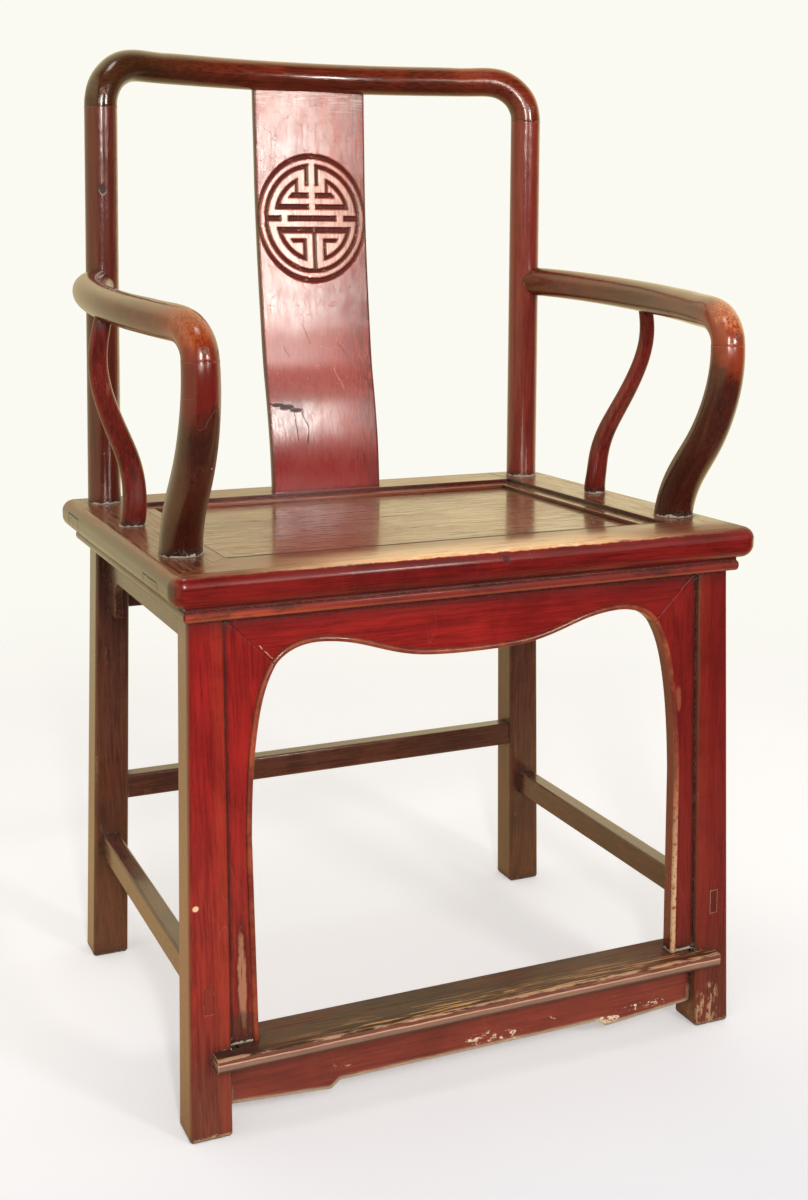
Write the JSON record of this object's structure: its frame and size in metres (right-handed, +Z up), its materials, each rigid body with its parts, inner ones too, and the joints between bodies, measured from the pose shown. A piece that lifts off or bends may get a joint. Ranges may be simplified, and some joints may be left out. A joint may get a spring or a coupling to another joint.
{
  "type": "armchair",
  "caption": "Low-backed wooden armchair with a round bowed crest rail, flat curved back splat, open curved arms, framed seat, arched front apron and a foot rest.",
  "frame": {"origin": "on the floor under the middle of the whole chair's bounding box", "axes": "+Z up; +X to the right as the chair is looked at from the front; the chair faces -Y"},
  "size_m": [0.5916, 0.4587, 0.9601],
  "materials": {
    "red_lacquered_wood": "deep red-brown lacquer, glossy, worn orange on the edges",
    "dark_lacquered_wood": "dark brown lacquer, satin, rubbed grey-brown in places",
    "worn_seat_wood": "lacquer worn tan-brown, glossy, open grain along the width",
    "worn_foot_rest_wood": "lacquer worn gold-brown by feet, coarse open grain",
    "plain_wood": "bare wood, matt",
    "peg_wood": "end grain under lacquer"
  },
  "bodies": {
    "root": {"armrest_left": "red_lacquered_wood", "armrest_right": "red_lacquered_wood", "back_splat": "red_lacquered_wood", "crest_rail": "red_lacquered_wood", "foot_rest": "worn_foot_rest_wood", "foot_rest_apron": "red_lacquered_wood", "front_apron": "red_lacquered_wood", "front_apron_strip_left": "red_lacquered_wood", "front_apron_strip_right": "red_lacquered_wood", "front_arm_post_left": "red_lacquered_wood", "front_arm_post_right": "red_lacquered_wood", "front_leg_left": "red_lacquered_wood", "front_leg_right": "red_lacquered_wood", "joint_pegs": "peg_wood", "rear_apron": "dark_lacquered_wood", "rear_post_left": "dark_lacquered_wood", "rear_post_right": "dark_lacquered_wood", "rear_stretcher": "dark_lacquered_wood", "seat_batten_left": "plain_wood", "seat_batten_right": "plain_wood", "seat_cover_strip_front": "worn_seat_wood", "seat_cover_strip_left": "worn_seat_wood", "seat_cover_strip_rear": "worn_seat_wood", "seat_cover_strip_right": "worn_seat_wood", "seat_plank_front": "worn_seat_wood", "seat_plank_middle": "worn_seat_wood", "seat_plank_rear": "worn_seat_wood", "seat_rail_front": "red_lacquered_wood", "seat_rail_left": "red_lacquered_wood", "seat_rail_rear": "red_lacquered_wood", "seat_rail_right": "red_lacquered_wood", "side_apron_left": "dark_lacquered_wood", "side_apron_right": "dark_lacquered_wood", "side_stretcher_left": "dark_lacquered_wood", "side_stretcher_right": "dark_lacquered_wood", "side_support_left": "dark_lacquered_wood", "side_support_right": "dark_lacquered_wood"}
  },
  "joints": []
}
